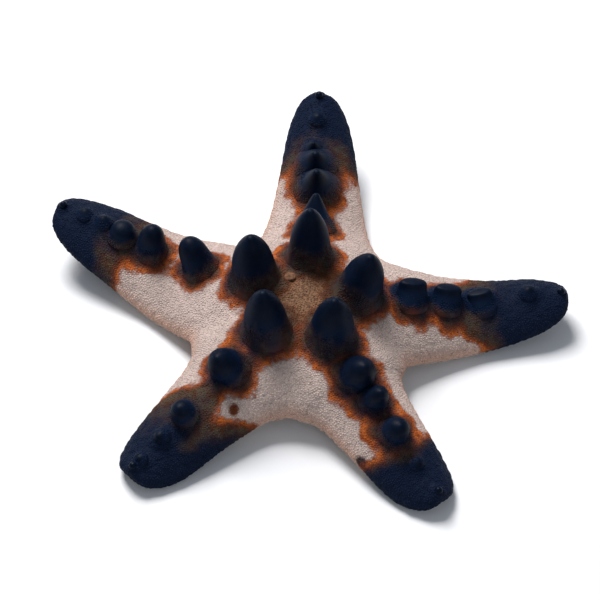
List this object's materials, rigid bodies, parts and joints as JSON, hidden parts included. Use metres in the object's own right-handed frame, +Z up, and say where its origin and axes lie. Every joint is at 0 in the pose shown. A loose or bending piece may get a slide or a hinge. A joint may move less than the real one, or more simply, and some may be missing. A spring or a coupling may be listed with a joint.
{
  "type": "horned sea star",
  "caption": "Life-size horned sea star lying mouth down, with dark horns on a domed disc and ridged, tapering arms.",
  "frame": {"origin": "on the floor, at the middle of the animal's footprint box", "axes": "+X to the animal's right, along its widest span; +Y to its rear; +Z up, out of its back"},
  "size_m": [0.1368, 0.1266, 0.0351],
  "materials": {
    "skin": "satin, finely granular",
    "horn": "smooth, softly glossy",
    "eye_plate": "smooth, softly glossy",
    "sieve_plate": "matt, grooved",
    "mouth_plate": "matt",
    "tube_feet": "moist"
  },
  "bodies": {
    "root": {"disc": "skin", "arm_rear": "skin", "arm_left": "skin", "arm_front_left": "skin", "arm_front_right": "skin", "arm_right": "skin", "eye_plate_rear": "eye_plate", "eye_plate_left": "eye_plate", "eye_plate_front_left": "eye_plate", "eye_plate_front_right": "eye_plate", "eye_plate_right": "eye_plate", "sieve_plate": "sieve_plate", "mouth_plates": "mouth_plate"}
  },
  "joints": []
}
